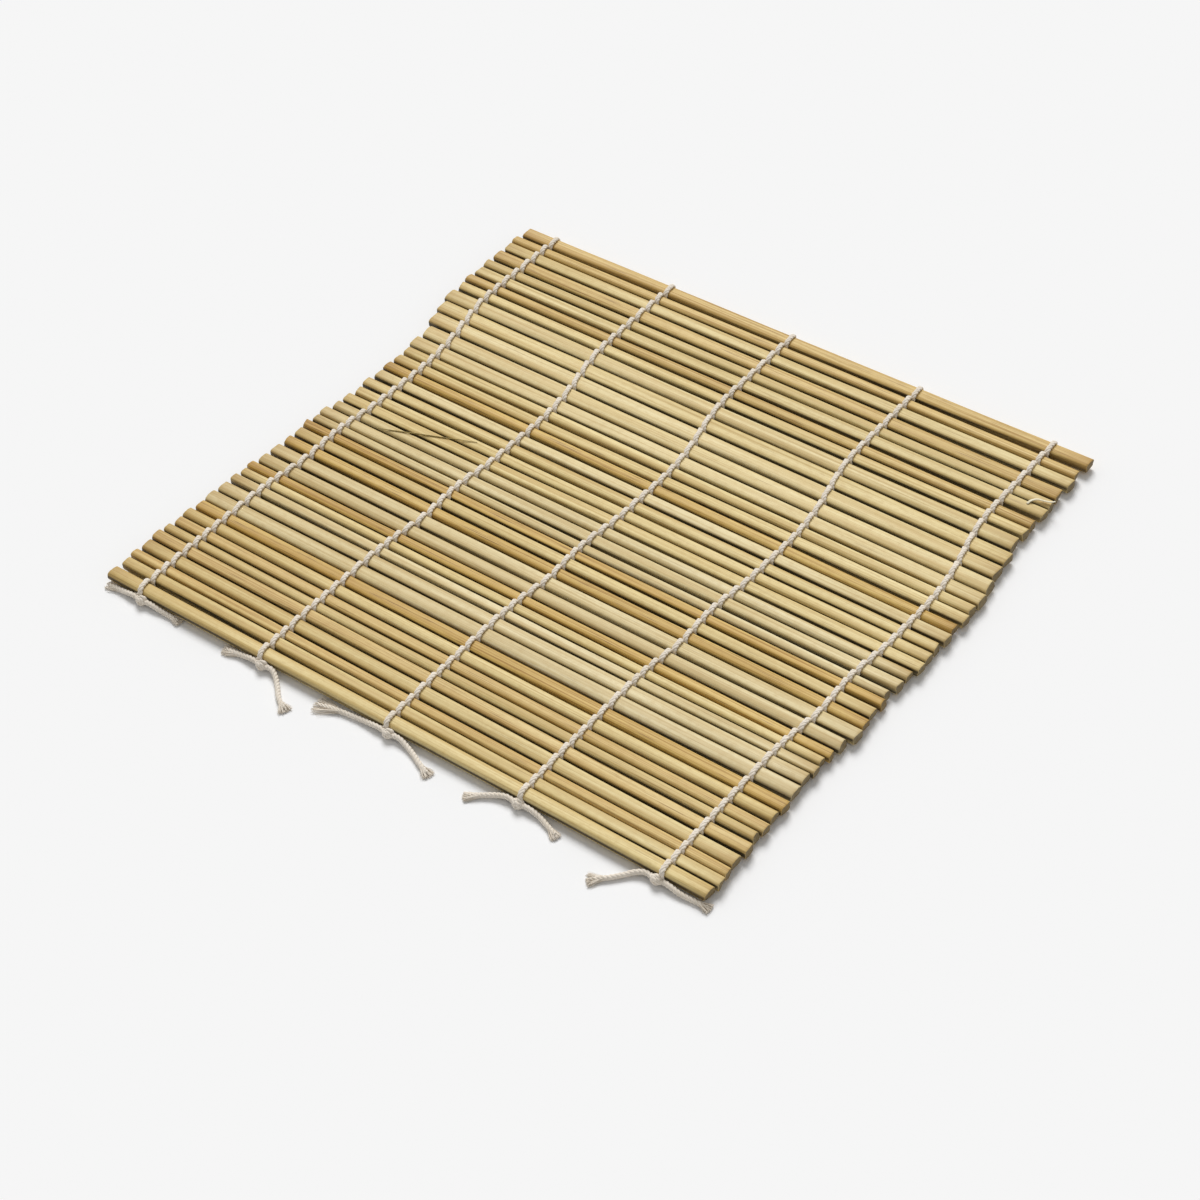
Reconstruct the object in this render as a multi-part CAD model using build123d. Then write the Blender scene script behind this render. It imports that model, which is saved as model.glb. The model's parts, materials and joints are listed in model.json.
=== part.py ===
from build123d import *
from math import copysign, cos, hypot, pi, radians, sin, tan
import os

os.makedirs("parts", exist_ok=True)

# Slats, in mm
slat_length = 238.0
slat_width = 4.2
slat_thickness = 3.6
slat_sides = 16
ragged_cut = 0.8

# Twined cords
cord_count = 5
cord_margin = 13.8
cord_offset = 0.8
strand_width = 1.8
strand_thickness = 0.7
strand_apart = 2.3
cord_clearance = 0.15

# Knots and their tails
knot_length = 4.8
knot_depth = 2.9
knot_height = 3.3
band_length = 2.2
band_depth = 3.5
band_height = 4.1
tail_diameter = 2.2
tail_sides = 8
tail_lift = 0.05

# Width class of each slat, from the near edge to the far edge: narrow, slim, middle, large, wide, broad
slat_classes = "lsnlmnsmmwlnnnllmmnnmmmmmmmmmwbbbbmmlmwlmw"
width_shares = {"n": 0.78, "s": 0.88, "m": 1.0, "l": 1.12, "w": 1.28, "b": 1.46}
thickness_shares = {"n": 0.93, "s": 0.96, "m": 1.0, "l": 1.0, "w": 1.0, "b": 1.0}

# Power of the curve that a slat's section follows: 2 is an ellipse, and more is squarer
section_powers = (2.4, 3.0, 2.5, 2.7, 3.0, 2.4, 2.8)

# Uneven cut of the slat ends, as shares of the ragged cut
left_cut_shares = (0.1, -0.6, 0.5, -0.1, 0.8, 0.0, -0.4, 0.6, -0.8, 0.3, -0.2)
right_cut_shares = (-0.3, 0.7, 0.1, -0.5, 0.4, -0.9, 0.2)

# Longer and shorter slats: share of the way from near to far, share of the slat length
length_shares = (
    (0.00, 0.0130),
    (0.12, 0.0100),
    (0.22, -0.0010),
    (0.42, -0.0020),
    (0.50, -0.0090),
    (0.68, -0.0100),
    (0.78, 0.0030),
    (1.00, 0.0030),
)

# Sideways wander of slats and cords: share of the way from near to far, share of the slat length
wander_shares = (
    (0.00, -0.0063),
    (0.12, -0.0055),
    (0.25, -0.0030),
    (0.30, 0.0000),
    (0.34, 0.0088),
    (0.43, 0.0059),
    (0.50, 0.0160),
    (0.62, 0.0210),
    (0.68, 0.0175),
    (0.74, 0.0065),
    (0.77, -0.0010),
    (0.81, -0.0045),
    (1.00, -0.0010),
)

# Bends of a strand: heights and reaches as shares of its path's height over the slat
run_share = 0.48
shoulder_share = 0.57

# Outline of a knot: where its front corners are cut, as shares of its depth and height
knot_top_share = 0.62
knot_front_share = 0.55

# Tails, one list of points for each: sideways, towards the near side and down, from the knot's end
left_routes = (
    ((0, 0, 0), (2.6, 0, 0), (5.8, 0, 1.1), (9.0, 0.1, 1.75), (12.6, 0.2, 1.85)),
    ((0, 0, 0), (2.6, 0, 0), (5.9, 0.1, 1.1), (9.1, 0.4, 1.75), (12.8, 0.8, 1.85)),
    ((0, 0, 0), (3.2, 0, 0), (7.4, 0, 1.1), (12.0, 0.3, 1.75), (17.2, 1.0, 1.85), (25.0, 2.6, 1.85)),
    ((0, 0, 0), (2.6, 0, 0), (5.8, 1.0, 1.1), (9.0, 2.9, 1.75), (13.4, 6.0, 1.85)),
    ((0, 0, 0), (2.4, 0, 0), (5.0, 1.4, 1.0), (7.4, 4.0, 1.75), (10.4, 7.2, 1.85), (14.6, 10.6, 1.85)),
)
right_routes = (
    ((0, 0, 0), (2.6, 0, 0), (6.0, -0.1, 1.1), (9.8, -0.2, 1.75), (13.8, -0.2, 1.85)),
    ((0, 0, 0), (2.4, 0, 0), (5.1, 1.5, 1.0), (8.2, 4.2, 1.75), (11.8, 7.6, 1.85), (16.0, 9.8, 1.85)),
    ((0, 0, 0), (2.6, 0, 0), (6.0, 0.8, 1.1), (9.8, 2.2, 1.75), (13.6, 4.0, 1.85), (18.0, 5.6, 1.85)),
    ((0, 0, 0), (2.6, 0, 0), (6.0, 0.3, 1.1), (9.8, 1.5, 1.75), (14.2, 3.2, 1.85)),
    ((0, 0, 0), (2.6, 0.1, 0), (6.2, 0.4, 1.1), (10.4, 0.1, 1.75), (15.8, -0.3, 1.85)),
)
arc_share = 0.45

cord_spacing = (slat_length - 2 * cord_margin) / (cord_count - 1)
gap = strand_thickness + 2 * cord_clearance
middle_height = slat_thickness / 2 + cord_clearance + strand_thickness
path_height = slat_thickness / 2 + cord_clearance + strand_thickness / 2
run_height = run_share * path_height
shoulder_reach = shoulder_share * path_height
strand_shift = strand_apart / 2
slat_count = len(slat_classes)


def along_mat(stations, place):
    """Length that a table of stations gives at a place between the near edge and the far edge."""
    share = (place + mat_length / 2) / mat_length
    for (start, low), (end, high) in zip(stations, stations[1:]):
        if share <= end:
            return slat_length * (low + (high - low) * (share - start) / (end - start))
    return slat_length * stations[-1][1]


# The row of slats, from the near edge to the far edge
widths = [slat_width * width_shares[kind] for kind in slat_classes]
mat_length = sum(widths) + gap * (slat_count - 1)
slat_places = []
edge = -mat_length / 2
for width in widths:
    slat_places.append(edge + width / 2)
    edge += width + gap
drifts = [along_mat(wander_shares, place) for place in slat_places]
lengths = [slat_length + along_mat(length_shares, place) for place in slat_places]
gap_places = [place + (width + gap) / 2 for place, width in zip(slat_places, widths)]
near_place = slat_places[0] - (widths[0] + gap) / 2
cord_lines = [cord_spacing * (step - (cord_count - 1) / 2) - cord_offset for step in range(cord_count)]


def slat_outline(width, thickness, power):
    """Corners of a slat's section on a superellipse, with a flat at the top, bottom and each side."""
    widest = cos(pi / slat_sides) ** (2 / power)
    corners = []
    for side in range(slat_sides):
        turn = (side + 1 / 2) * 2 * pi / slat_sides
        across = copysign(abs(cos(turn)) ** (2 / power), cos(turn)) / widest
        up = copysign(abs(sin(turn)) ** (2 / power), sin(turn)) / widest
        corners.append((across * width / 2, up * thickness / 2))
    return corners


def make_slat(number):
    """One bamboo slat: a long rod of rounded section, cut square at both ends."""
    kind = slat_classes[number]
    width = widths[number]
    thickness = slat_thickness * thickness_shares[kind]
    power = section_powers[number % len(section_powers)]
    left_cut = ragged_cut * left_cut_shares[number % len(left_cut_shares)]
    right_cut = ragged_cut * right_cut_shares[number % len(right_cut_shares)]
    left = drifts[number] - lengths[number] / 2 - left_cut
    right = drifts[number] + lengths[number] / 2 + right_cut
    end = Plane(origin=(left, slat_places[number], middle_height), x_dir=(0, 1, 0), z_dir=(1, 0, 0))
    section = make_face(Polyline(*slat_outline(width, thickness, power), close=True))
    return extrude(end * section, amount=right - left)


def stitch(line, number, side):
    """Four bends of a strand over (side 1) or under (side -1) a slat, from its near gap to its far gap."""
    near_line = line + (drifts[number] + drifts[max(number - 1, 0)]) / 2
    far_line = line + (drifts[number] + drifts[min(number + 1, slat_count - 1)]) / 2
    near = gap_places[number - 1] if number else near_place
    far = gap_places[number]
    run = middle_height + side * run_height
    flat = middle_height + side * path_height
    return [
        (near_line + side * strand_shift, near, run),
        (near_line + side * strand_shift, near + shoulder_reach, flat),
        (far_line - side * strand_shift, far - shoulder_reach, flat),
        (far_line - side * strand_shift, far, run),
    ]


def cord_path(line):
    """Whole path of a folded cord: out to the far slat as one strand, round it, and back as the other."""
    out = []
    back = []
    for number in range(slat_count):
        side = -1 if number % 2 else 1
        out.extend(stitch(line, number, side))
        back.extend(stitch(line, number, -side))
    return out + back[::-1]


def strand_gap(path):
    """Least gap between the two strands of a cord, measured on the bends and middles of their runs."""
    points = [Vector(*point) for point in path]
    middles = [(start + end) / 2 for start, end in zip(points, points[1:])]
    half = len(points) // 2
    out = points[:half] + middles[: half - 1]
    back = points[half:] + middles[half:]
    return min(
        hypot(
            max(abs(a.X - b.X) - strand_width, 0),
            max(hypot(a.Y - b.Y, a.Z - b.Z) - strand_thickness, 0),
        )
        for a in out
        for b in back
    )


def polygon(*corners):
    """Flat face with these corners."""
    return Face(Wire.make_polygon([Vector(*corner) for corner in corners], close=True))


def ribbon(path):
    """Closed solid of rectangular section along a path, mitred at each bend."""
    slopes = []
    for (_, y0, z0), (_, y1, z1) in zip(path, path[1:]):
        run = Vector(0, y1 - y0, z1 - z0).normalized()
        slopes.append(Vector(0, -run.Z, run.Y))
    rings = []
    for point, before, after in zip(path, slopes[:1] + slopes, slopes + slopes[-1:]):
        middle = Vector(*point)
        aside = Vector(strand_width / 2, 0, 0)
        across = (before + after) * (strand_thickness / 2 / (1 + before.dot(after)))
        rings.append(
            (
                middle - aside + across,
                middle + aside + across,
                middle + aside - across,
                middle - aside - across,
            )
        )
    faces = [polygon(*rings[0]), polygon(*rings[-1])]
    for a, b in zip(rings, rings[1:]):
        faces.append(polygon(a[0], a[1], b[1], b[0]))
        faces.append(polygon(a[2], a[3], b[3], b[2]))
        for first, second in ((1, 2), (3, 0)):
            faces.append(polygon(a[first], a[second], b[second]))
            faces.append(polygon(a[first], b[second], b[first]))
    return Solid(Shell(faces))


def knot_block(line, length, depth, height):
    """Block of a knot, flat at the back against the near slat, with its front corners cut off."""
    back = near_place + strand_thickness / 2
    end = Plane(
        origin=(line + drifts[0] - length / 2, back, middle_height),
        x_dir=(0, 1, 0),
        z_dir=(1, 0, 0),
    )
    top = height / 2
    cut = top * knot_front_share
    inner = depth * knot_top_share
    corners = (
        (0, -top),
        (0, top),
        (-inner, top),
        (-depth, cut),
        (-depth, -cut),
        (-inner, -top),
    )
    return extrude(end * make_face(Polyline(*corners, close=True)), amount=length)


def make_cord(line):
    """One cord: the loop round the far slat, both strands twined through the mat, and their knot."""
    knot = knot_block(line, knot_length, knot_depth, knot_height)
    band = knot_block(line, band_length, band_depth, band_height)
    return ribbon(cord_path(line)) + knot + band


def corner_radii(points):
    """Radius of the arc at each corner of a tail: as large as its two runs allow."""
    runs = [end - start for start, end in zip(points, points[1:])]
    return [
        arc_share * min(a.length, b.length) / tan(radians(a.get_angle(b)) / 2)
        for a, b in zip(runs, runs[1:])
    ]


def make_tail(line, side, route):
    """One tail, from the end of the knot down to the table."""
    start = Vector(
        line + drifts[0] + side * knot_length / 2,
        near_place + strand_thickness / 2 - knot_depth / 2,
        middle_height,
    )
    drop = middle_height - tail_diameter / 2 - tail_lift
    deepest = route[-1][2]
    points = [
        start + Vector(side * aside, -ahead, -down / deepest * drop) for aside, ahead, down in route
    ]
    radii = corner_radii(points)
    path = FilletPolyline(*points, radius=radii)
    section = Plane(origin=start, z_dir=(side, 0, 0)) * RegularPolygon(tail_diameter / 2, tail_sides)
    tail = sweep(section, path=path)
    share = tail.volume / (path.length * section.area)
    print(f"tail {path.length:.1f} mm, least radius {min(radii):.1f} mm, volume share {share:.3f}")
    return tail


slats = [make_slat(number) for number in range(slat_count)]
cords = [make_cord(line) for line in cord_lines]
for line in cord_lines:
    print(f"least gap between the strands of a cord {strand_gap(cord_path(line)):.2f} mm")
tails = [
    [make_tail(line, -1, left_route), make_tail(line, 1, right_route)]
    for line, left_route, right_route in zip(cord_lines, left_routes, right_routes)
]

# The origin is under the middle of the slats and cords, at the lowest stitches
outline = Compound([*slats, *cords]).bounding_box()
shift = Vector(-outline.center().X, -outline.center().Y, -outline.min.Z)
to_origin = Pos(*shift)

for number, slat in enumerate(slats, start=1):
    export_step(to_origin * slat, f"parts/slat_{number:02d}.step")
for number, cord in enumerate(cords, start=1):
    export_step(to_origin * cord, f"parts/cord_{number}.step")
for number, pair in enumerate(tails, start=1):
    export_step(to_origin * Compound(pair), f"parts/cord_{number}_tails.step")
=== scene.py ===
import json
import math
import random

import bpy
from mathutils import Matrix, Vector


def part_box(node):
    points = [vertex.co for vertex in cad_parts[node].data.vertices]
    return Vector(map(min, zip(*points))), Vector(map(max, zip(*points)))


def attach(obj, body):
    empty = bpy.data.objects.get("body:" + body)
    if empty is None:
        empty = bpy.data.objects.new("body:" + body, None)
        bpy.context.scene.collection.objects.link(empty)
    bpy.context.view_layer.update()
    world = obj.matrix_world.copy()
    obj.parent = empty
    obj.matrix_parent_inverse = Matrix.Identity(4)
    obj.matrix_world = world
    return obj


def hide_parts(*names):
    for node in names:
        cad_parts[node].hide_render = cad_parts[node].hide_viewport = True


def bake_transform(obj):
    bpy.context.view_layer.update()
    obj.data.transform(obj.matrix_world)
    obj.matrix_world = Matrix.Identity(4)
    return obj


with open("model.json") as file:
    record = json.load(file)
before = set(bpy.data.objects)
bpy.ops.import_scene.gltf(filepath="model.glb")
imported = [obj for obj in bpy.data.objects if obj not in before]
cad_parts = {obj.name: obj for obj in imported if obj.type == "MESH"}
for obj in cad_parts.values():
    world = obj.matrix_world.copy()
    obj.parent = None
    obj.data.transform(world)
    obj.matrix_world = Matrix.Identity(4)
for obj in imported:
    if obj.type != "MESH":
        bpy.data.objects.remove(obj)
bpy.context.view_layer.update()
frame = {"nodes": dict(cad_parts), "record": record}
mm = 0.001

# Camera, solved from the slat ends in the photograph
camera_azimuth = math.radians(39.32)
camera_elevation = math.radians(44.92)
camera_roll = math.radians(-3.84)
camera_distance = 0.861
camera_aim = Vector((0.0179, -0.0278, 0.0))
camera_lens = 79.47
camera_sensor = 36.0

# Light: the surround as it lights the mat, and as the camera and reflections see it, and the key lamp
surround_strength = 0.38
surround_seen = 0.915
key_strength = 2.55
key_spread = math.radians(30)
key_from = Vector((-0.50, 0.72, 1.0))
floor_colour = (0.93, 0.93, 0.93, 1)
floor_half = 3.0

# Slats: sides of a section, steps along the length, and how far they stray from a true rod
section_sides = 32
length_steps = 44
end_bevel = 0.16 * mm
end_bevel_inset = 0.9
cut_slope = 0.55 * mm
cut_jag = 0.14 * mm
cut_reach = 2.0 * mm
bow_aside = 0.13 * mm
bow_up = 0.07 * mm
yaw_aside = 0.08 * mm
swell_share = 0.014
dent_share = 0.018
roll_most = math.radians(5)
power_choices = (3.0, 4.4, 3.4, 3.8, 4.6, 3.2, 4.0)

# Seeds of the random draws for the shapes of the slats, their tones and the opened tails
shape_seed = 700
tone_seed = 300
tail_seed = 40

# How much wider on each side the nearest slat and the farthest one are drawn than their solids
widenings = (0.15 * mm, -0.05 * mm)

# How far each end of a slat lies towards the far side of its true place, in mm, left and right
end_offsets = (
    (-0.5, 0.2), (0.4, -0.2), (0.4, -0.6), (0.6, -0.6), (0.6, -0.4), (0.5, 0.1), (0.4, -0.2),
    (0.2, 0.2), (0.0, 0.0), (-0.2, 0.9), (-0.5, 0.6), (0.2, 0.3), (0.1, 0.1), (-0.2, -0.2),
    (-0.3, -0.1), (-0.2, 0.1), (0.1, -0.2), (0.5, -0.1), (0.5, 0.2), (0.4, -0.1), (0.1, 0.5),
    (-0.2, 0.5), (-0.3, 0.4), (-0.5, 0.1), (-0.1, -0.1), (0.0, 0.1), (0.3, -0.2), (0.0, 0.0),
    (0.1, -0.3), (-0.1, -0.6), (0.0, -0.9), (0.2, -0.95), (-0.1, -0.9), (-0.4, -0.5), (-0.2, -0.3),
    (0.0, -0.45), (-0.2, 0.4), (-0.4, 0.1), (-0.1, -0.2), (-0.4, 0.6), (-0.7, 0.3), (-0.8, 1.7),
)
offset_power = 2.2

# Twined yarn of three plies, flattened where it lies over a slat
ply_total = 3
strand_width = 1.8 * mm
ply_aside_radius = 0.56 * mm
ply_across_radius = 0.31 * mm
ply_over_radius = 0.50 * mm
ply_aside = 0.46 * mm
ply_across = 0.12 * mm
crossing_shares = (0.70, 0.68, 0.62, 0.56, 0.46)
tail_ply_radius = 0.54 * mm
tail_ply_offset = 0.44 * mm
twist_length = 4.2 * mm
slant_shares = (1.1, 1.0, 0.85, 0.8, 0.8)
wave_power = 3.0
wave_steps = 16
ply_sides = 8
crossing_reach = 0.5 * mm

# Knot: path of the upper strand from the near slat, in mm, right, towards the mat and up
knot_points = (
    (0.8, 0.0, 0.0),
    (0.5, -0.5, 0.6),
    (-0.4, -0.8, 1.0),
    (-1.4, -0.9, 0.2),
    (-1.2, -1.0, -1.0),
    (0.1, -1.5, -1.4),
    (1.3, -1.8, -0.6),
    (1.2, -2.3, 0.5),
    (0.1, -2.6, 0.9),
    (-1.2, -2.1, 0.5),
    (-2.4, -1.5, 0.0),
)

# How far each knot lies to the right of its cord's middle, in mm, and how far back under the slat and down
knot_asides = (1.9, 1.9, 1.9, 0.3, -0.8)
knot_back = 0.65 * mm
knot_drop = 0.75 * mm
knot_scale = 0.86
knot_smoothing = 6
knot_ease_start = 0.1
floor_clearance = 0.02 * mm
tail_thinning_steps = 8
tail_thinnest = 0.45

# Tails, one list of points for each, in mm: sideways, towards the near side and down, from the knot's end
left_routes = (
    ((0, 0, 0), (2.6, 0, 0), (5.8, 0, 1.1), (9.0, 0.1, 1.75), (12.6, 0.2, 1.85)),
    ((0, 0, 0), (2.6, 0, 0), (5.9, 0.1, 1.1), (9.1, 0.4, 1.75), (12.8, 0.8, 1.85)),
    ((0, 0, 0), (3.2, 0, 0), (7.4, 0, 1.1), (12.0, 0.3, 1.75), (17.2, 1.0, 1.85), (25.0, 2.6, 1.85)),
    ((0, 0, 0), (2.6, 0, 0), (5.8, 1.0, 1.1), (9.0, 2.9, 1.75), (13.4, 6.0, 1.85)),
    ((0, 0, 0), (2.4, 0, 0), (5.0, 1.4, 1.0), (7.4, 4.0, 1.75), (10.4, 7.2, 1.85), (14.6, 10.6, 1.85)),
)
right_routes = (
    ((0, 0, 0), (2.6, 0, 0), (6.0, -0.1, 1.1), (9.8, -0.2, 1.75), (13.8, -0.2, 1.85)),
    ((0, 0, 0), (2.4, 0, 0), (5.1, 1.5, 1.0), (8.2, 4.2, 1.75), (11.8, 7.6, 1.85), (16.0, 9.8, 1.85)),
    ((0, 0, 0), (2.6, 0, 0), (6.0, 0.8, 1.1), (9.8, 2.2, 1.75), (13.6, 4.0, 1.85), (18.0, 5.6, 1.85)),
    ((0, 0, 0), (2.6, 0, 0), (6.0, 0.3, 1.1), (9.8, 1.5, 1.75), (14.2, 3.2, 1.85)),
    ((0, 0, 0), (2.6, 0.1, 0), (6.2, 0.4, 1.1), (10.4, 0.1, 1.75), (15.8, -0.3, 1.85)),
)

# Opened ends of the tails, left and right of each knot: length and width of the brush in mm
brushes = (
    ((5.5, 3.8), (4.5, 3.4)),
    ((6.5, 4.4), (4.0, 4.6)),
    ((9.5, 7.0), (4.5, 4.0)),
    ((5.0, 3.6), (4.5, 3.6)),
    ((5.0, 5.0), (4.0, 3.8)),
)
brush_overhang = 1.2
brush_steps = 6
brush_smoothing = 3
brush_root_width = 1.4
brush_root_thickness = tail_ply_offset + tail_ply_radius * 0.6
brush_tip_thickness = 0.45 * mm
brush_edge_thinning = 0.5
brush_opening_power = 1.3
brush_sinking = 0.45
brush_reach = 1.05
brush_rounding = 0.35
brush_curl = 0.5 * mm
strand_clearance = 1.05
strand_taper = 0.55
strand_sides = 5

# Strands of a brush, thick bundles and then loose fibres: radius, how many, fan and raggedness
brush_strands = ((0.20 * mm, 30, 0.5, 0.12), (0.055 * mm, 46, 0.62, 0.30))

# Small faults of the bamboo, points in mm: a dark splinter across slats, a curled shaving at a slat's end
splinter_start = (-94.0, -7.0)
splinter_end = (-60.0, 6.6)
splinter_steps = 48
splinter_radius = 0.34 * mm
splinter_lift = 0.6
splinter_tip = 0.35
splinter_flatness = 0.5
sliver_sides = 6
shaving_slat = 37
shaving_inset = 7.0 * mm
shaving_width = 0.67 * mm
shaving_taper = 0.5
shaving_flatness = 0.3
shaving_smoothing = 5
shaving_points = (
    (0.0, -4.6, 0.0),
    (0.8, -2.9, 0.6),
    (2.4, -1.6, 0.9),
    (4.6, -0.9, 0.7),
    (6.6, -0.5, 0.9),
    (8.0, 0.2, 1.3),
)

slat_names = sorted(name for name in frame["nodes"] if name.startswith("slat_"))
cord_names = sorted(name for name in frame["nodes"] if name.startswith("cord_") and "tails" not in name)
slat_total = len(slat_names)
slat_slots = {entry["node"]: entry["material_slot"] for entry in frame["record"]["subparts"]}


def new_mesh(name, points, faces, smooth=True):
    """Mesh object from points in metres and faces, linked to the scene."""
    mesh = bpy.data.meshes.new(name)
    mesh.from_pydata([tuple(point) for point in points], [], faces)
    mesh.polygons.foreach_set("use_smooth", [smooth] * len(mesh.polygons))
    mesh.update()
    piece = bpy.data.objects.new(name, mesh)
    bpy.context.scene.collection.objects.link(piece)
    return piece


class Wave:
    """Smooth random curve along the length of a slat, between about -1 and 1; the lengths are in metres."""

    def __init__(self, dice, lengths=(0.21, 0.09, 0.043), shares=(0.6, 0.3, 0.12)):
        self.terms = [
            (share, 2 * math.pi / size, dice.uniform(0, 2 * math.pi)) for size, share in zip(lengths, shares)
        ]

    def __call__(self, x):
        return sum(share * math.sin(turn * x + start) for share, turn, start in self.terms)


class Slat:
    """One slat as it is drawn: the box of its CAD node, with the small bows and swells of split bamboo."""

    def __init__(self, number):
        self.name = slat_names[number]
        low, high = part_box(self.name)
        dice = random.Random(shape_seed + number)
        self.number = number
        self.left, self.right = low[0], high[0]
        self.middle = (self.left + self.right) / 2
        self.y = (low[1] + high[1]) / 2
        self.z = (low[2] + high[2]) / 2
        self.depth = number / (slat_total - 1)
        self.width = high[1] - low[1] + 2 * (widenings[0] + (widenings[1] - widenings[0]) * self.depth)
        self.height = high[2] - low[2]
        self.power = power_choices[number % len(power_choices)]
        self.offsets = [offset * mm for offset in end_offsets[number]]
        self.yaw = dice.uniform(-1, 1) * yaw_aside * 2 / (self.right - self.left)
        self.waves = [Wave(dice) for _ in range(4)]
        self.dents = [dice.uniform(-dent_share, dent_share) for _ in range(section_sides)]
        self.cuts = [[dice.uniform(-1, 1) * cut_slope for _ in range(2)] for _ in range(2)]
        self.jags = [[dice.uniform(0, 1) * cut_jag for _ in range(section_sides)] for _ in range(2)]

    def centre(self, x):
        """Place of the slat's axis at x: y and z."""
        share = min(max((x - self.left) / (self.right - self.left), 0), 1)
        aside = self.offsets[0] * (1 - share) ** offset_power + self.offsets[1] * share**offset_power
        aside += self.yaw * (x - self.middle) + bow_aside * self.waves[0](x)
        return self.y + aside, self.z + bow_up * self.waves[1](x)

    def halves(self, x):
        """Half the width and half the height at x."""
        swell = 1 + swell_share * self.waves[2](x)
        return self.width / 2 * swell, self.height / 2 * swell

    def ring(self, x, inset):
        """Points of the section at x, drawn in by an inset."""
        y, z = self.centre(x)
        half_width, half_height = self.halves(x)
        roll = roll_most * self.waves[3](x)
        points = []
        for side in range(section_sides):
            turn = (side + 0.5) * 2 * math.pi / section_sides
            across = math.copysign(abs(math.cos(turn)) ** (2 / self.power), math.cos(turn))
            up = math.copysign(abs(math.sin(turn)) ** (2 / self.power), math.sin(turn))
            dent = 1 + self.dents[side]
            a = across * (half_width - inset) * dent
            b = up * (half_height - inset) * min(dent, 1)
            end = int(x > self.middle)
            near_end = max(1 - min(x - self.left, self.right - x) / cut_reach, 0)
            slope = self.cuts[end][0] * a / half_width + self.cuts[end][1] * b / half_height
            inward = (abs(slope) + slope) / 2 + self.jags[end][side]
            shift = inward * near_end * (-1 if end else 1)
            aside = a * math.cos(roll) - b * math.sin(roll)
            lift = a * math.sin(roll) + b * math.cos(roll)
            points.append((x + shift, y + aside, z + lift))
        return points


slats = [Slat(number) for number in range(slat_total)]


def make_slat(slat):
    """Bamboo slat with softened ends and end faces of their own material."""
    span = slat.right - slat.left
    edge_steps = [0, end_bevel * 0.4, end_bevel, cut_reach * 0.5, cut_reach]
    steps = edge_steps + [span * k / length_steps for k in range(1, length_steps)]
    steps += [span - step for step in reversed(edge_steps)]
    points, faces = [], []
    for k, step in enumerate(steps):
        near_end = min(step, span - step)
        inset = end_bevel * (1 - min(near_end / end_bevel, 1)) ** 2 * end_bevel_inset
        points += slat.ring(slat.left + step, inset)
    n = section_sides
    for k in range(len(steps) - 1):
        for side in range(n):
            other = (side + 1) % n
            faces.append((k * n + side, k * n + other, (k + 1) * n + other, (k + 1) * n + side))
    last = (len(steps) - 1) * n
    faces.append(tuple(range(n))[::-1])
    faces.append(tuple(last + side for side in range(n)))
    piece = new_mesh(f"bamboo_{slat.number + 1:02d}", points, faces)
    for face in piece.data.polygons[-2:]:
        face.use_smooth = False
        face.material_index = 1
    return piece


def crossing(cord, place):
    """Where a CAD cord crosses a gap: the x between its two strands, and half their distance apart."""
    mesh = frame["nodes"][cord].data
    xs = [v.co.x for v in mesh.vertices if abs(v.co.y - place) < crossing_reach]
    low, high = min(xs), max(xs)
    return (low + high) / 2, (high - low - strand_width) / 2 * crossing_shares[cord_names.index(cord)]


def gap_sides(number, x):
    """The two slat faces of the gap after slat number (0 for the near side of the first), at x."""
    rest_gap = slats[1].y - slats[1].width / 2 - slats[0].y - slats[0].width / 2
    if number == 0:
        y = slats[0].centre(x)[0] - slats[0].halves(x)[0]
        return y - rest_gap, y
    y = slats[number - 1].centre(x)[0] + slats[number - 1].halves(x)[0]
    if number == slat_total:
        return y, y + rest_gap
    return y, slats[number].centre(x)[0] - slats[number].halves(x)[0]


def strand_path(crossings, start_side, slant):
    """Points of one strand from the near edge to the far one, over or under each slat in turn."""
    lowest = ply_across_radius + ply_across
    points = []
    for number, slat in enumerate(slats):
        side = start_side * (-1 if number % 2 else 1)
        half_yarn = (ply_over_radius if side > 0 else ply_across_radius) + ply_across
        (near_x, near_shift), (far_x, far_shift) = crossings[number], crossings[number + 1]
        if number == slat_total - 1:
            far_shift = 0
        start = near_x + side * near_shift
        end = far_x - side * far_shift
        for step in range(wave_steps + (number == slat_total - 1)):
            share = step / wave_steps
            turn = math.pi * share
            lean = (start - end) * (slant - 1) * 0.5 * math.sin(2 * turn)
            x = start + (end - start) * (1 - math.cos(turn)) / 2 + lean
            y, z = slat.centre(x)
            near_y = sum(gap_sides(number, x)) / 2
            far_y = sum(gap_sides(number + 1, x)) / 2
            across = math.copysign(abs(math.cos(turn)) ** (2 / wave_power), math.cos(turn))
            up = abs(math.sin(turn)) ** (2 / wave_power)
            reach = (y - near_y) if across > 0 else (far_y - y)
            height = slat.halves(x)[1] + half_yarn
            points.append(Vector((x, y - across * reach, max(z + side * up * height, lowest))))
    return points


def rounded(points, per_run=6):
    """Points of a smooth curve through the given points."""
    ends = [points[0] * 2 - points[1], *points, points[-1] * 2 - points[-2]]
    out = []
    for a, b, c, d in zip(ends, ends[1:], ends[2:], ends[3:]):
        for step in range(per_run):
            t = step / per_run
            bend = (2 * a - 5 * b + 4 * c - d) * t * t + (3 * b - a - 3 * c + d) * t**3
            out.append(0.5 * (2 * b + (c - a) * t + bend))
    out.append(points[-1])
    return out


def guides(points, first=Vector((1, 0, 0))):
    """Direction, sideways and outward vectors at each point of a path, turned as little as possible."""
    result = []
    aside = first
    for k, point in enumerate(points):
        along = (points[min(k + 1, len(points) - 1)] - points[max(k - 1, 0)]).normalized()
        aside = (aside - along * aside.dot(along)).normalized()
        result.append((along, aside, along.cross(aside)))
    return result


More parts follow.
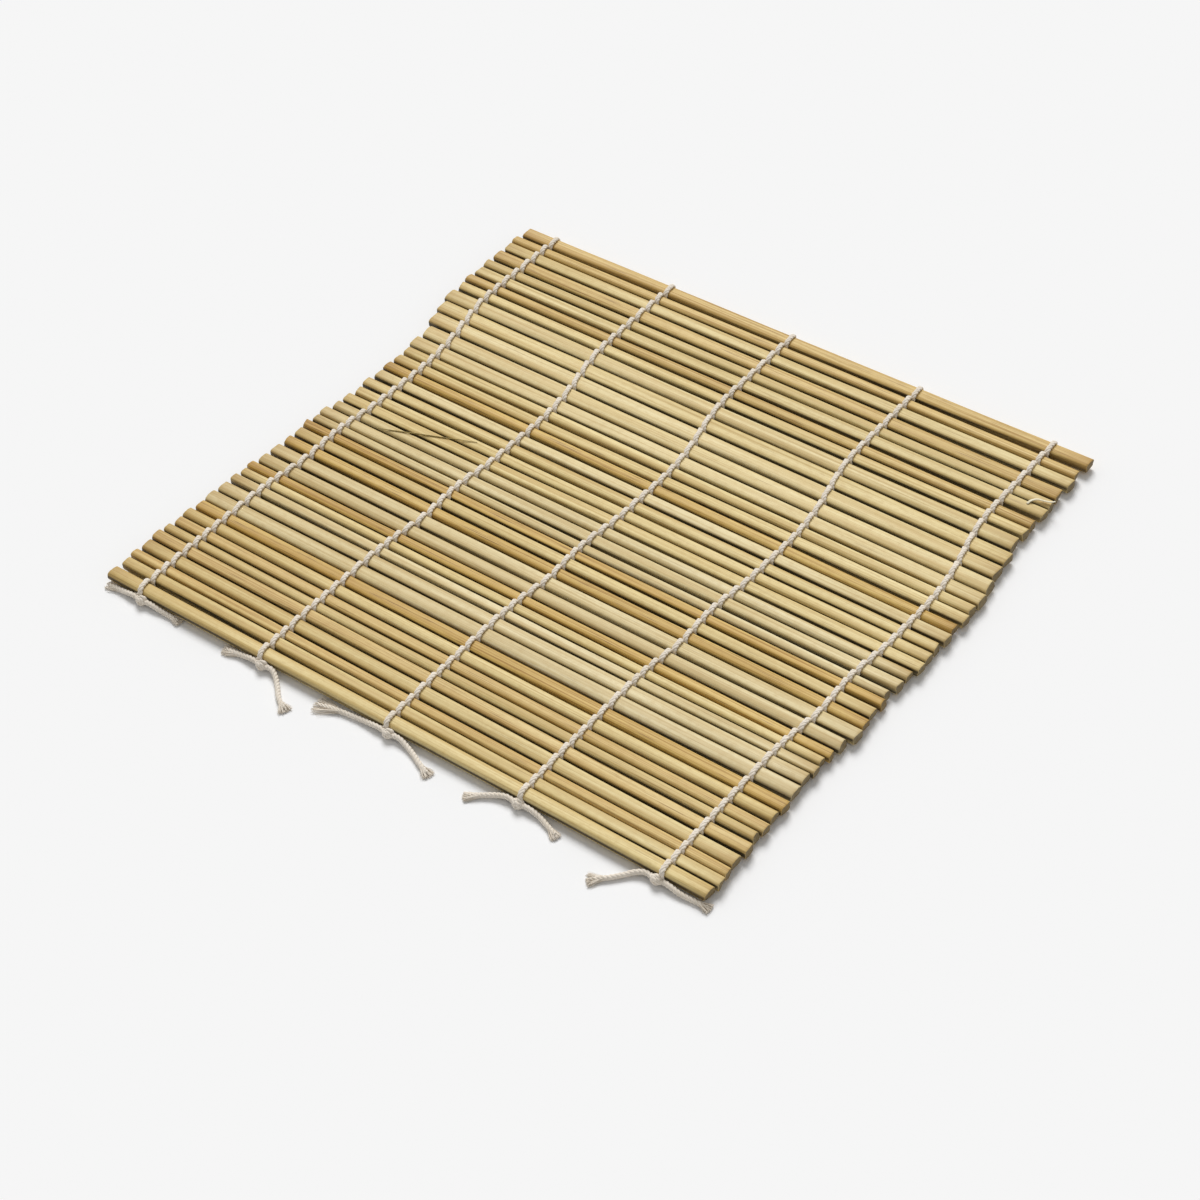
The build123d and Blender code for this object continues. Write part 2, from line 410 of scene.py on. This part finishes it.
def twist_plies(points, spread, lift, start=0.0, flat=True):
    """Paths of the plies twisted round a path, and the sideways and outward vectors along it."""
    plies = [[] for _ in range(ply_total)]
    turned = start
    frames = []
    for k, (along, aside, out) in enumerate(guides(points)):
        if k:
            turned += 2 * math.pi * (points[k] - points[k - 1]).length / twist_length
        if flat:
            aside = (Vector((1, 0, 0)) - along * along.x).normalized()
            out = along.cross(aside)
        frames.append((aside, out))
        a = spread(k) if callable(spread) else spread
        b = lift(k) if callable(lift) else lift
        for number, ply in enumerate(plies):
            turn = turned + 2 * math.pi * number / ply_total
            ply.append(points[k] + aside * (a * math.cos(turn)) + out * (b * math.sin(turn)))
    return plies, frames


class Tubes:
    """Round tubes along paths, gathered into one mesh."""

    def __init__(self):
        self.points = []
        self.faces = []

    def add(self, path, radius, sides=ply_sides, cap=False, frames=None):
        base = len(self.points)
        frames = frames or [(aside, out) for _, aside, out in guides(path, Vector((0.9, 0.2, 0.4)))]
        for k, (point, (aside, out)) in enumerate(zip(path, frames)):
            size = radius(k) if callable(radius) else radius[k] if isinstance(radius, list) else radius
            a, b = size if isinstance(size, tuple) else (size, size)
            for side in range(sides):
                turn = 2 * math.pi * side / sides
                self.points.append(point + aside * (a * math.cos(turn)) + out * (b * math.sin(turn)))
        for k in range(len(path) - 1):
            for side in range(sides):
                other = (side + 1) % sides
                a = base + k * sides
                self.faces.append((a + side, a + other, a + sides + other, a + sides + side))
        if cap:
            self.faces.append(tuple(base + side for side in range(sides))[::-1])
            self.faces.append(tuple(base + (len(path) - 1) * sides + side for side in range(sides)))

    def piece(self, name):
        return new_mesh(name, self.points, self.faces)


def cord_strands(cord):
    """Paths of the two strands of a cord, and where they cross in each gap."""
    places = [sum(gap_sides(k, slats[min(k, slat_total - 1)].middle)) / 2 for k in range(slat_total + 1)]
    crossings = [crossing(cord, place) for place in places]
    crossings[0] = (crossings[1][0], crossings[1][1])
    slant = slant_shares[cord_names.index(cord)]
    return [strand_path(crossings, 1, slant), strand_path(crossings, -1, slant)], crossings


def yarn_thickness(point):
    """Half the thickness of a ply at a point of a strand: plump over the slats, flat elsewhere."""
    rise = (point.z - slats[0].z) / (slats[0].height / 2)
    return ply_across_radius + (ply_over_radius - ply_across_radius) * min(max(rise, 0), 1)


# The strands are cut at the middle of each slat, so that one piece of yarn joins each slat to the next
links = [Tubes() for _ in range(slat_total + 1)]
knots = []
cuts = [0, *(wave_steps // 2 + k * wave_steps for k in range(slat_total)), None]
for number, cord in enumerate(cord_names):
    (over, under), crossings = cord_strands(cord)
    for strand in (over, under):
        plies, frames = twist_plies(strand, ply_aside, ply_across, start=number + (strand is under))
        radii = [(ply_aside_radius, yarn_thickness(point)) for point in strand]
        for ply in plies:
            for tubes, first, last in zip(links, cuts, cuts[1:]):
                run = slice(first, last + 1 if last else None)
                tubes.add(ply[run], radii[run], frames=frames[run])
    knots.append((crossings[0][0], over[0], under[0]))


def tail_path(end, route, side, floor_drop):
    """Points of a tail in metres, from the end of its knot."""
    deepest = route[-1][2]
    return [end + Vector((side * a * mm, -b * mm, -c / deepest * floor_drop)) for a, b, c in route]


def brush(tubes, path, length, width, dice):
    """Opened end of a tail: bundles of yarn that part from its last stretch, and loose fibres among them."""
    along = path[-1] - path[-4]
    along.z = 0
    along.normalize()
    aside = Vector((-along.y, along.x, 0))
    start = path[-1] - along * (length - brush_overhang) * mm
    start.z = path[-1].z
    for radius, total, fan, ragged in brush_strands:
        for number in range(total):
            spread = (2 * (number + dice.random()) / total - 1) * fan
            layer = dice.uniform(-1, 1)
            reach = length * mm * (1 - ragged * dice.random()) * (brush_reach - brush_rounding * spread * spread)
            curl = dice.uniform(-brush_curl, brush_curl)
            points = []
            for step in range(brush_steps + 1):
                t = step / brush_steps
                root = 2 * tail_ply_offset * spread * brush_root_width
                opened = root + (spread * width * mm - root) * t**brush_opening_power
                place = start + along * (reach * t) + aside * opened
                place += aside * (curl * math.sin(math.pi * t) * t)
                thick = (1 - t) * brush_root_thickness + t * brush_tip_thickness
                thick *= 1 - brush_edge_thinning * abs(spread)
                height = start.z * (1 - brush_sinking * t) + layer * thick
                place.z = max(height, radius * strand_clearance)
                points.append(place)
            run = rounded(points, brush_smoothing)
            thin = lambda k: radius * (1 - strand_taper * (k / (len(run) - 1)) ** 3)
            tubes.add(run, thin, sides=strand_sides, cap=True)


def make_knot(number):
    """Knot of one cord, tied from both strands, with the two tails and their opened ends."""
    line, over_start, under_start = knots[number]
    dice = random.Random(tail_seed + number)
    tubes = Tubes()
    z = slats[0].z - knot_drop
    origin = Vector((line + knot_asides[number] * mm, over_start.y + knot_back, z))
    floor_drop = z - (tail_ply_radius + tail_ply_offset) - floor_clearance
    for side, start, route, (length, width) in (
        (1, over_start, left_routes[number], brushes[number][0]),
        (-1, under_start, right_routes[number], brushes[number][1]),
    ):
        body = [origin + Vector((side * a, b, side * c)) * knot_scale * mm for a, b, c in knot_points]
        body[0] = start
        tail = tail_path(body[-1], route, -side, floor_drop)
        run = rounded(body + tail[1:], knot_smoothing)
        for point in run:
            point.z = max(point.z, tail_ply_radius + tail_ply_offset)
        knot_steps = knot_smoothing * (len(body) - 1)
        first = knot_steps * knot_ease_start
        ease = lambda k: min(max((k - first) / (knot_steps - first), 0), 1)
        plies, _ = twist_plies(
            run,
            lambda k: ply_aside + (tail_ply_offset - ply_aside) * ease(k),
            lambda k: ply_across + (tail_ply_offset - ply_across) * ease(k),
            flat=False,
        )
        knot_radius = (ply_aside_radius + ply_across_radius) / 2
        thin = lambda k: min(1, (len(run) - 1 - k) / tail_thinning_steps + tail_thinnest)
        radius = lambda k: (knot_radius + (tail_ply_radius - knot_radius) * ease(k)) * thin(k)
        for ply in plies:
            tubes.add(ply, radius, cap=True)
        brush(tubes, run, length, width, dice)
    return tubes.piece(f"knot_{number + 1}")


def node(tree, kind, inputs=None, **settings):
    """New shader node with its settings and unlinked inputs."""
    made = tree.nodes.new(kind)
    for name, value in settings.items():
        setattr(made, name, value)
    for name, value in (inputs or {}).items():
        made.inputs[name].default_value = value
    return made


def streaks(tree, stretch, detail=2.0, rough=0.55):
    """Noise drawn out along the slats, different on each slat."""
    place = node(tree, "ShaderNodeTexCoord")
    seed = node(tree, "ShaderNodeAttribute", attribute_name="seed")
    scale = node(tree, "ShaderNodeMapping", {"Scale": stretch})
    inputs = {"Scale": 1.0, "Detail": detail, "Roughness": rough}
    noise = node(tree, "ShaderNodeTexNoise", inputs, noise_dimensions="4D")
    tree.links.new(place.outputs["Object"], scale.inputs["Vector"])
    tree.links.new(scale.outputs["Vector"], noise.inputs["Vector"])
    tree.links.new(seed.outputs["Fac"], noise.inputs["W"])
    return noise.outputs["Fac"]


def ranged(tree, value, low, high, new_low, new_high):
    """Value mapped from one range to another, held at its ends."""
    inputs = {"From Min": low, "From Max": high, "To Min": new_low, "To Max": new_high}
    made = node(tree, "ShaderNodeMapRange", inputs)
    tree.links.new(value, made.inputs["Value"])
    return made.outputs["Result"]


def mixed(tree, factor, first, second, kind="MIX"):
    """Colour mix of two colours or sockets."""
    made = node(tree, "ShaderNodeMix", data_type="RGBA", blend_type=kind)
    for index, value in ((0, factor), (6, first), (7, second)):
        if isinstance(value, (tuple, float, int)):
            made.inputs[index].default_value = value
        else:
            tree.links.new(value, made.inputs[index])
    return made.outputs[2]


def new_material(name):
    """Empty node material and its Principled shader."""
    material = bpy.data.materials.new(name)
    material.use_nodes = True
    return material, material.node_tree, material.node_tree.nodes["Principled BSDF"]


def bamboo_material(name, streak):
    """Bare split bamboo: the slat's tone with its painted shade, long fibres, dark vessels, satin roughness and
    fine grooves.
    """
    material, tree, shader = new_material(name)
    tone = node(tree, "ShaderNodeAttribute", attribute_name="tone").outputs["Color"]
    broad = streaks(tree, (7, 520, 520))
    fine = streaks(tree, (16, 2300, 2300), 3.0)
    dashes = streaks(tree, (70, 3300, 3300), 1.0)
    mottle = streaks(tree, (420, 900, 900), 3.0)
    darker = mixed(tree, 1.0, tone, (0.76, 0.66, 0.50, 1), "MULTIPLY")
    paler = mixed(tree, 1.0, tone, (1.12, 1.17, 1.32, 1), "MULTIPLY")
    fibre = mixed(tree, 1.0, tone, (0.58, 0.46, 0.32, 1), "MULTIPLY")
    vessel = mixed(tree, 1.0, tone, (0.34, 0.25, 0.17, 1), "MULTIPLY")
    colour = mixed(tree, ranged(tree, broad, 0.44, 0.68, 0.0, 0.75), tone, darker)
    colour = mixed(tree, ranged(tree, broad, 0.48, 0.30, 0.0, 0.80), colour, paler)
    colour = mixed(tree, ranged(tree, mottle, 0.46, 0.66, 0.0, 0.35), colour, darker)
    colour = mixed(tree, ranged(tree, fine, 0.50, 0.68, 0.0, streak), colour, fibre)
    colour = mixed(tree, ranged(tree, dashes, 0.62, 0.74, 0.0, streak), colour, vessel)
    tree.links.new(colour, shader.inputs["Base Color"])
    tree.links.new(ranged(tree, fine, 0.3, 0.7, 0.48, 0.66), shader.inputs["Roughness"])
    shader.inputs["Specular IOR Level"].default_value = 0.34
    bump = node(tree, "ShaderNodeBump", {"Strength": 0.6, "Distance": 0.07 * mm})
    tree.links.new(fine, bump.inputs["Height"])
    tree.links.new(bump.outputs["Normal"], shader.inputs["Normal"])
    return material


def end_material():
    """Cut end of a slat: darker, partly its own browner colour and partly painted shade, dotted with the bundles
    of fibres.
    """
    material, tree, shader = new_material("bamboo_end")
    tone = node(tree, "ShaderNodeAttribute", attribute_name="tone").outputs["Color"]
    place = node(tree, "ShaderNodeTexCoord")
    cells = node(tree, "ShaderNodeTexVoronoi", {"Scale": 2300.0, "Randomness": 1.0})
    tree.links.new(place.outputs["Object"], cells.inputs["Vector"])
    blotch = streaks(tree, (300, 700, 700))
    # Painted shade over the end's own browner colour, darkening the whole face
    colour = mixed(tree, 0.82, tone, (0.14, 0.10, 0.045, 1))
    dots = ranged(tree, cells.outputs["Distance"], 0.38, 0.20, 0.0, 0.75)
    colour = mixed(tree, dots, colour, (0.085, 0.055, 0.026, 1))
    colour = mixed(tree, ranged(tree, blotch, 0.45, 0.7, 0.0, 0.6), colour, (0.12, 0.08, 0.04, 1))
    tree.links.new(colour, shader.inputs["Base Color"])
    shader.inputs["Roughness"].default_value = 0.8
    bump = node(tree, "ShaderNodeBump", {"Strength": 0.6, "Distance": 0.1 * mm})
    tree.links.new(cells.outputs["Distance"], bump.inputs["Height"])
    tree.links.new(bump.outputs["Normal"], shader.inputs["Normal"])
    return material


def sliver_material(name, first, second):
    """Thin sliver of bamboo, in two tones along its fibres."""
    material, tree, shader = new_material(name)
    place = node(tree, "ShaderNodeTexCoord")
    noise = node(tree, "ShaderNodeTexNoise", {"Scale": 900.0, "Detail": 2.0})
    tree.links.new(place.outputs["Object"], noise.inputs["Vector"])
    colour = mixed(tree, ranged(tree, noise.outputs["Fac"], 0.4, 0.65, 0.0, 1.0), first, second)
    tree.links.new(colour, shader.inputs["Base Color"])
    shader.inputs["Roughness"].default_value = 0.6
    return material


def cotton_material():
    """Unbleached twisted cotton: off-white, uneven, matt and a little fuzzy."""
    material, tree, shader = new_material("cotton")
    place = node(tree, "ShaderNodeTexCoord")
    patches = node(tree, "ShaderNodeTexNoise", {"Scale": 260.0, "Detail": 2.0})
    fibres = node(tree, "ShaderNodeTexNoise", {"Scale": 5200.0, "Detail": 2.0, "Distortion": 0.6})
    for texture in (patches, fibres):
        tree.links.new(place.outputs["Object"], texture.inputs["Vector"])
    patch = ranged(tree, patches.outputs["Fac"], 0.35, 0.7, 0.0, 1.0)
    colour = mixed(tree, patch, (0.87, 0.79, 0.68, 1), (0.78, 0.695, 0.575, 1))
    fibre = ranged(tree, fibres.outputs["Fac"], 0.5, 0.75, 0.0, 0.4)
    colour = mixed(tree, fibre, colour, (0.63, 0.55, 0.45, 1))
    tree.links.new(colour, shader.inputs["Base Color"])
    shader.inputs["Roughness"].default_value = 0.92
    shader.inputs["Sheen Weight"].default_value = 0.25
    shader.inputs["Sheen Roughness"].default_value = 0.5
    bump = node(tree, "ShaderNodeBump", {"Strength": 0.6, "Distance": 0.08 * mm})
    tree.links.new(fibres.outputs["Fac"], bump.inputs["Height"])
    tree.links.new(bump.outputs["Normal"], shader.inputs["Normal"])
    return material


# Tones of the slats as linear colours, by the slot that the record gives them
tones = {
    "bamboo_straw": (0.72, 0.575, 0.265),
    "bamboo_pale": (0.72, 0.605, 0.345),
    "bamboo_tan": (0.66, 0.475, 0.175),
    "bamboo_amber": (0.66, 0.455, 0.135),
}

# How strongly the fibres show
fibre_strengths = {"bamboo_straw": 0.45, "bamboo_pale": 0.35, "bamboo_tan": 0.85, "bamboo_amber": 1.15}

# Straw slats that are browner and streakier than the rest, and by how much
streaky_slats = ("slat_03", "slat_05", "slat_07")
streaky_shares = (0.97, 0.90, 0.80)

# Painted shade where the light falls off towards the left end of a slat: how much darker and yellower that end
# is than the right end, near side and far side
left_shade_near = (0.88, 0.83, 0.72)
left_shade_far = (0.99, 0.97, 0.93)

# How much of each channel the stain at a slat's ends takes away, how far it reaches, and its least strength
end_stain = (0.22, 0.30, 0.42)
stain_reach = 14 * mm
stain_least = 0.3
fading_power = 1.5

# Painted shade down the flanks in the gaps between slats: how dark, and from which share of the half width, on
# the near and far slats
flank_shade = 0.90
flank_starts = (0.95, 0.915)

# How far the tone of the farthest pale slats goes over to straw
pale_fading = 0.8

# How a tone differs from slat to slat and drifts along a slat, in each channel
tone_spread = 0.04
tone_swings = (0.035, 0.05, 0.10)
drift_lengths = (0.31, 0.12, 0.05)
drift_shares = (0.6, 0.35, 0.2)
seed_step = 3.7


def paint_tone(piece, slat):
    """Each slat's own tone, which drifts along its length, with painted shade towards its left end and down its
    flanks, and its seed for the grain.
    """
    dice = random.Random(tone_seed + slat.number)
    base = Vector(tones[slat_slots[slat.name]])
    if slat_slots[slat.name] == "bamboo_pale":
        base = base.lerp(Vector(tones["bamboo_straw"]), pale_fading * slat.depth)
    if slat.name in streaky_slats:
        base = Vector([channel * share for channel, share in zip(base, streaky_shares)])
    base *= dice.uniform(1 - tone_spread, 1 + tone_spread)
    drift = Wave(dice, drift_lengths, drift_shares)
    left_shade = Vector(left_shade_near).lerp(Vector(left_shade_far), slat.depth)
    flank_start = flank_starts[0] + (flank_starts[1] - flank_starts[0]) * slat.depth
    stain = dice.uniform(stain_least, 1.0)
    colours, seeds = [], []
    for vertex in piece.data.vertices:
        x, y, _ = vertex.co
        shift = drift(x)
        # Painted shade, the light falling off towards the slat's left end
        leftness = min(max((slat.right - x) / (slat.right - slat.left), 0), 1)
        shade = Vector((1, 1, 1)).lerp(left_shade, leftness**fading_power)
        centre = slat.centre(x)[0]
        # Painted shade down each flank, as falls in the gaps between slats and on the near side of the first
        # slat; none on the far side of the last
        flank = (abs(y - centre) / (slat.width / 2) - flank_start) / (1 - flank_start)
        if slat.number == slat_total - 1 and y > centre:
            flank = 0
        gap_shade = 1 - flank_shade * min(max(flank, 0), 1) ** 2
        near_end = max(1 - min(x - slat.left, slat.right - x) / stain_reach, 0) ** fading_power * stain
        for channel, swing in enumerate(tone_swings):
            worn = 1 - near_end * end_stain[channel]
            colours.append(base[channel] * shade[channel] * gap_shade * worn * (1 + swing * shift))
        colours.append(1)
        seeds.append(slat.number * seed_step)
    piece.data.attributes.new("tone", "FLOAT_COLOR", "POINT").data.foreach_set("color", colours)
    piece.data.attributes.new("seed", "FLOAT", "POINT").data.foreach_set("value", seeds)


bamboo = {name: bamboo_material(name, streak) for name, streak in fibre_strengths.items()}
bamboo_end = end_material()
husk = sliver_material("husk", (0.44, 0.34, 0.11, 1), (0.24, 0.18, 0.06, 1))
pith = sliver_material("pith", (0.86, 0.80, 0.62, 1), (0.74, 0.64, 0.42, 1))
cotton = cotton_material()

for slat in slats:
    piece = make_slat(slat)
    paint_tone(piece, slat)
    piece.data.materials.append(bamboo["bamboo_tan" if slat.name in streaky_slats else slat_slots[slat.name]])
    piece.data.materials.append(bamboo_end)
    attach(piece, f"row_{slat.number + 1:02d}")
    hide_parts(slat.name)

for number, tubes in enumerate(links):
    piece = tubes.piece(f"stitches_{number:02d}")
    piece.data.materials.append(cotton)
    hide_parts(*cord_names)
    if number in (0, slat_total):
        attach(piece, f"row_{max(number, 1):02d}")
        continue
    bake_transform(piece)

for number in range(len(cord_names)):
    piece = make_knot(number)
    piece.data.materials.append(cotton)
    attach(piece, "row_01")
    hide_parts(f"{cord_names[number]}_tails")


def across_slats(start, end, steps):
    """Points over the tops of the slats on a straight line between two places, with the slat under each."""
    out = []
    for step in range(steps + 1):
        place = Vector(start).lerp(Vector(end), step / steps) * mm
        under = min(range(slat_total), key=lambda k: abs(slats[k].centre(place.x)[0] - place.y))
        slat = slats[under]
        centre, middle = slat.centre(place.x)
        share = min(abs(place.y - centre) / slat.halves(place.x)[0], 0.98)
        top = middle + slat.halves(place.x)[1] * (1 - share**slat.power) ** (1 / slat.power)
        out.append((Vector((place.x, place.y, top)), under))
    return out


def make_splinter():
    """Dark splinter that lies aslant over four slats, in one length for each slat that it lies on."""
    points = across_slats(splinter_start, splinter_end, splinter_steps)
    crest = max(point.z for point, _ in points)
    for under in sorted({slat for _, slat in points}):
        held = [k for k, (_, slat) in enumerate(points) if slat == under]
        run = []
        for k in range(held[0], min(held[-1] + 2, len(points))):
            run.append(Vector((points[k][0].x, points[k][0].y, crest + splinter_radius * splinter_lift)))
        tubes = Tubes()
        swell = lambda k: math.sin(math.pi * (held[0] + k) / splinter_steps)
        thin = lambda k: splinter_radius * (splinter_tip + (1 - splinter_tip) * swell(k))
        tubes.add(run, lambda k: (thin(k), thin(k) * splinter_flatness), sides=sliver_sides, cap=True)
        piece = tubes.piece(f"splinter_{under + 1:02d}")
        piece.data.materials.append(husk)
        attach(piece, f"row_{under + 1:02d}")


def make_shaving():
    """Pale curled shaving that still hangs on the right end of a slat."""
    slat = slats[shaving_slat]
    x = slat.right - shaving_inset
    centre, middle = slat.centre(x)
    top = middle + slat.halves(x)[1]
    corner = Vector((x, centre, top))
    path = rounded([corner + Vector(point) * mm for point in shaving_points], shaving_smoothing)
    tubes = Tubes()
    width = lambda k: shaving_width * (1 - shaving_taper * k / (len(path) - 1))
    tubes.add(path, lambda k: (width(k), shaving_width * shaving_flatness), sides=sliver_sides, cap=True)
    piece = tubes.piece("shaving")
    piece.data.materials.append(pith)
    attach(piece, f"row_{shaving_slat + 1:02d}")


make_splinter()
make_shaving()


def make_floor():
    """Pale table top that takes the shadow."""
    points = [(x * floor_half, y * floor_half, 0) for x, y in ((-1, -1), (1, -1), (1, 1), (-1, 1))]
    floor = new_mesh("floor", points, [(0, 1, 2, 3)], smooth=False)
    material, _, shader = new_material("floor")
    shader.inputs["Base Color"].default_value = floor_colour
    shader.inputs["Roughness"].default_value = 1.0
    shader.inputs["Specular IOR Level"].default_value = 0.0
    floor.data.materials.append(material)


def make_light():
    """Soft sun-like key from behind on the left, and an even surround that the camera sees as pale."""
    world = bpy.data.worlds.new("surround")
    world.use_nodes = True
    tree = world.node_tree
    background = tree.nodes["Background"]
    background.inputs["Color"].default_value = (1, 1, 1, 1)
    rays = node(tree, "ShaderNodeLightPath")
    seen = rays.outputs["Is Camera Ray"]
    for kind in ("Is Glossy Ray", "Is Transmission Ray"):
        either = tree.nodes.new("ShaderNodeMath")
        either.operation = "MAXIMUM"
        tree.links.new(seen, either.inputs[0])
        tree.links.new(rays.outputs[kind], either.inputs[1])
        seen = either.outputs[0]
    strength = ranged(tree, seen, 0.0, 1.0, surround_strength, surround_seen)
    tree.links.new(strength, background.inputs["Strength"])
    bpy.context.scene.world = world
    lamp = bpy.data.lights.new("key", "SUN")
    lamp.angle = key_spread
    lamp.energy = key_strength
    key = bpy.data.objects.new("key", lamp)
    bpy.context.scene.collection.objects.link(key)
    key.rotation_euler = (-key_from).to_track_quat("-Z", "Y").to_euler()


def make_camera():
    """Camera where the photograph was taken from."""
    az, el = camera_azimuth, camera_elevation
    view = Vector((-math.sin(az) * math.cos(el), math.cos(az) * math.cos(el), -math.sin(el)))
    right = view.cross(Vector((0, 0, 1))).normalized()
    up = right.cross(view)
    c, s = math.cos(camera_roll), math.sin(camera_roll)
    right, up = right * c + up * s, up * c - right * s
    data = bpy.data.cameras.new("camera")
    data.sensor_width = camera_sensor
    data.sensor_fit = "HORIZONTAL"
    data.lens = camera_lens
    data.clip_start = 0.01
    camera = bpy.data.objects.new("camera", data)
    bpy.context.scene.collection.objects.link(camera)
    turn = Matrix((right, up, -view)).transposed().to_4x4()
    camera.matrix_world = Matrix.Translation(camera_aim - view * camera_distance) @ turn
    bpy.context.scene.camera = camera


make_floor()
make_light()
make_camera()
bpy.context.scene.view_settings.view_transform = "Standard"

bpy.context.view_layer.update()
